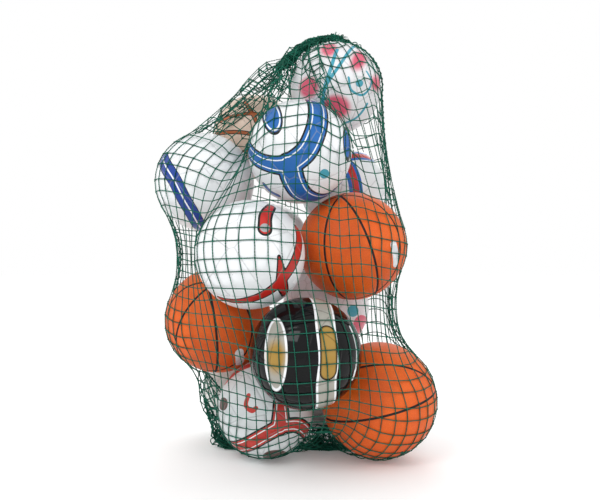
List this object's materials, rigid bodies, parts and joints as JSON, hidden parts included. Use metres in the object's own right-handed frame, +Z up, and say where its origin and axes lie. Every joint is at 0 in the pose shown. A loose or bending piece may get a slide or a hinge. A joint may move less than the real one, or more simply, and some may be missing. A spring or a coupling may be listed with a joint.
{
  "type": "mesh ball bag",
  "caption": "Square-mesh netting ball bag, packed full of footballs and basketballs and stood upright, its mouth drawn up into a bunch over the top ball.",
  "frame": {"origin": "on the floor, under the middle of the bag's box", "axes": "+X to the bag's right seen from the front, +Y to its back, +Z up"},
  "size_m": [0.6184, 0.58, 0.9284],
  "materials": {
    "netting": "twisted twine",
    "lacing": "twisted cord",
    "football_cover": "glossy synthetic leather",
    "black_cover": "high gloss synthetic leather",
    "basketball_cover": "pebbled",
    "bladder": "matte",
    "valve": "matte"
  },
  "bodies": {
    "net": {"front_net": "netting", "back_net": "netting", "right_lacing": "lacing", "left_lacing": "lacing", "foot_lacing": "lacing", "gathered_mouth": "netting", "mouth_cord": "lacing"},
    "top_ball": {"top_ball_cover": "football_cover", "top_ball_bladder": "bladder", "top_ball_valve": "valve"},
    "blue_ball": {"blue_ball_cover": "football_cover", "blue_ball_bladder": "bladder", "blue_ball_valve": "valve"},
    "left_ball": {"left_ball_cover": "football_cover", "left_ball_bladder": "bladder", "left_ball_valve": "valve"},
    "red_ball": {"red_ball_cover": "football_cover", "red_ball_bladder": "bladder", "red_ball_valve": "valve"},
    "right_basketball": {"right_basketball_cover": "basketball_cover", "right_basketball_bladder": "bladder", "right_basketball_valve": "valve"},
    "left_basketball": {"left_basketball_cover": "basketball_cover", "left_basketball_bladder": "bladder", "left_basketball_valve": "valve"},
    "black_ball": {"black_ball_cover": "black_cover", "black_ball_bladder": "bladder", "black_ball_valve": "valve"},
    "corner_basketball": {"corner_basketball_cover": "basketball_cover", "corner_basketball_bladder": "bladder", "corner_basketball_valve": "valve"},
    "low_ball": {"low_ball_cover": "football_cover", "low_ball_bladder": "bladder", "low_ball_valve": "valve"},
    "tan_ball": {"tan_ball_cover": "football_cover", "tan_ball_bladder": "bladder", "tan_ball_valve": "valve"},
    "striped_ball": {"striped_ball_cover": "football_cover", "striped_ball_bladder": "bladder", "striped_ball_valve": "valve"},
    "middle_ball": {"middle_ball_cover": "football_cover", "middle_ball_bladder": "bladder", "middle_ball_valve": "valve"},
    "back_ball": {"back_ball_cover": "football_cover", "back_ball_bladder": "bladder", "back_ball_valve": "valve"},
    "low_back_ball": {"low_back_ball_cover": "football_cover", "low_back_ball_bladder": "bladder", "low_back_ball_valve": "valve"},
    "low_left_ball": {"low_left_ball_cover": "football_cover", "low_left_ball_bladder": "bladder", "low_left_ball_valve": "valve"}
  },
  "joints": [
    {"name": "top_ball_spin", "type": "hinge", "parent": "net", "child": "top_ball", "pos_m": [0.09715, 0.06145, 0.812], "axis": [-0.383, 0.6634, 0.6428], "continuous": true},
    {"name": "blue_ball_spin", "type": "hinge", "parent": "net", "child": "blue_ball", "pos_m": [0.01615, -0.05655, 0.652], "axis": [0.4924, 0.8529, 0.1736], "continuous": true},
    {"name": "left_ball_spin", "type": "hinge", "parent": "net", "child": "left_ball", "pos_m": [-0.19585, 0.03645, 0.596], "axis": [0.6634, 0.5567, 0.5], "continuous": true},
    {"name": "red_ball_spin", "type": "hinge", "parent": "net", "child": "red_ball", "pos_m": [-0.08285, -0.14255, 0.436], "axis": [0.2432, 0.9077, 0.342], "continuous": true},
    {"name": "right_basketball_spin", "type": "hinge", "parent": "net", "child": "right_basketball", "pos_m": [0.12932, -0.01704, 0.45343], "axis": [-0.0872, 0.9962, 0], "continuous": true},
    {"name": "left_basketball_spin", "type": "hinge", "parent": "net", "child": "left_basketball", "pos_m": [-0.16385, 0.02145, 0.291], "axis": [0.1736, 0.9848, 0], "continuous": true},
    {"name": "black_ball_spin", "type": "hinge", "parent": "net", "child": "black_ball", "pos_m": [0.02731, -0.17644, 0.2439], "axis": [-0.3304, 0.9077, 0.2588], "continuous": true},
    {"name": "corner_basketball_spin", "type": "hinge", "parent": "net", "child": "corner_basketball", "pos_m": [0.18315, -0.04355, 0.127], "axis": [-0.171, 0.9698, 0.1736], "continuous": true},
    {"name": "low_ball_spin", "type": "hinge", "parent": "net", "child": "low_ball", "pos_m": [-0.057, -0.03866, 0.1066], "axis": [-0.433, 0.75, 0.5], "continuous": true},
    {"name": "tan_ball_spin", "type": "hinge", "parent": "net", "child": "tan_ball", "pos_m": [-0.09185, 0.18345, 0.72], "axis": [0.883, 0.3214, 0.342], "continuous": true},
    {"name": "striped_ball_spin", "type": "hinge", "parent": "net", "child": "striped_ball", "pos_m": [0.12015, 0.16645, 0.59], "axis": [0.31, 0.8517, 0.4226], "continuous": true},
    {"name": "middle_ball_spin", "type": "hinge", "parent": "net", "child": "middle_ball", "pos_m": [-0.06361, 0.1617, 0.45784], "axis": [-0.75, 0.433, 0.5], "continuous": true},
    {"name": "back_ball_spin", "type": "hinge", "parent": "net", "child": "back_ball", "pos_m": [0.07776, 0.14169, 0.31073], "axis": [0.6634, 0.383, 0.6428], "continuous": true},
    {"name": "low_back_ball_spin", "type": "hinge", "parent": "net", "child": "low_back_ball", "pos_m": [0.09053, 0.16643, 0.107], "axis": [0.6634, 0.5567, 0.5], "continuous": true},
    {"name": "low_left_ball_spin", "type": "hinge", "parent": "net", "child": "low_left_ball", "pos_m": [-0.11422, 0.17647, 0.107], "axis": [-0.5567, 0.6634, 0.5], "continuous": true}
  ]
}
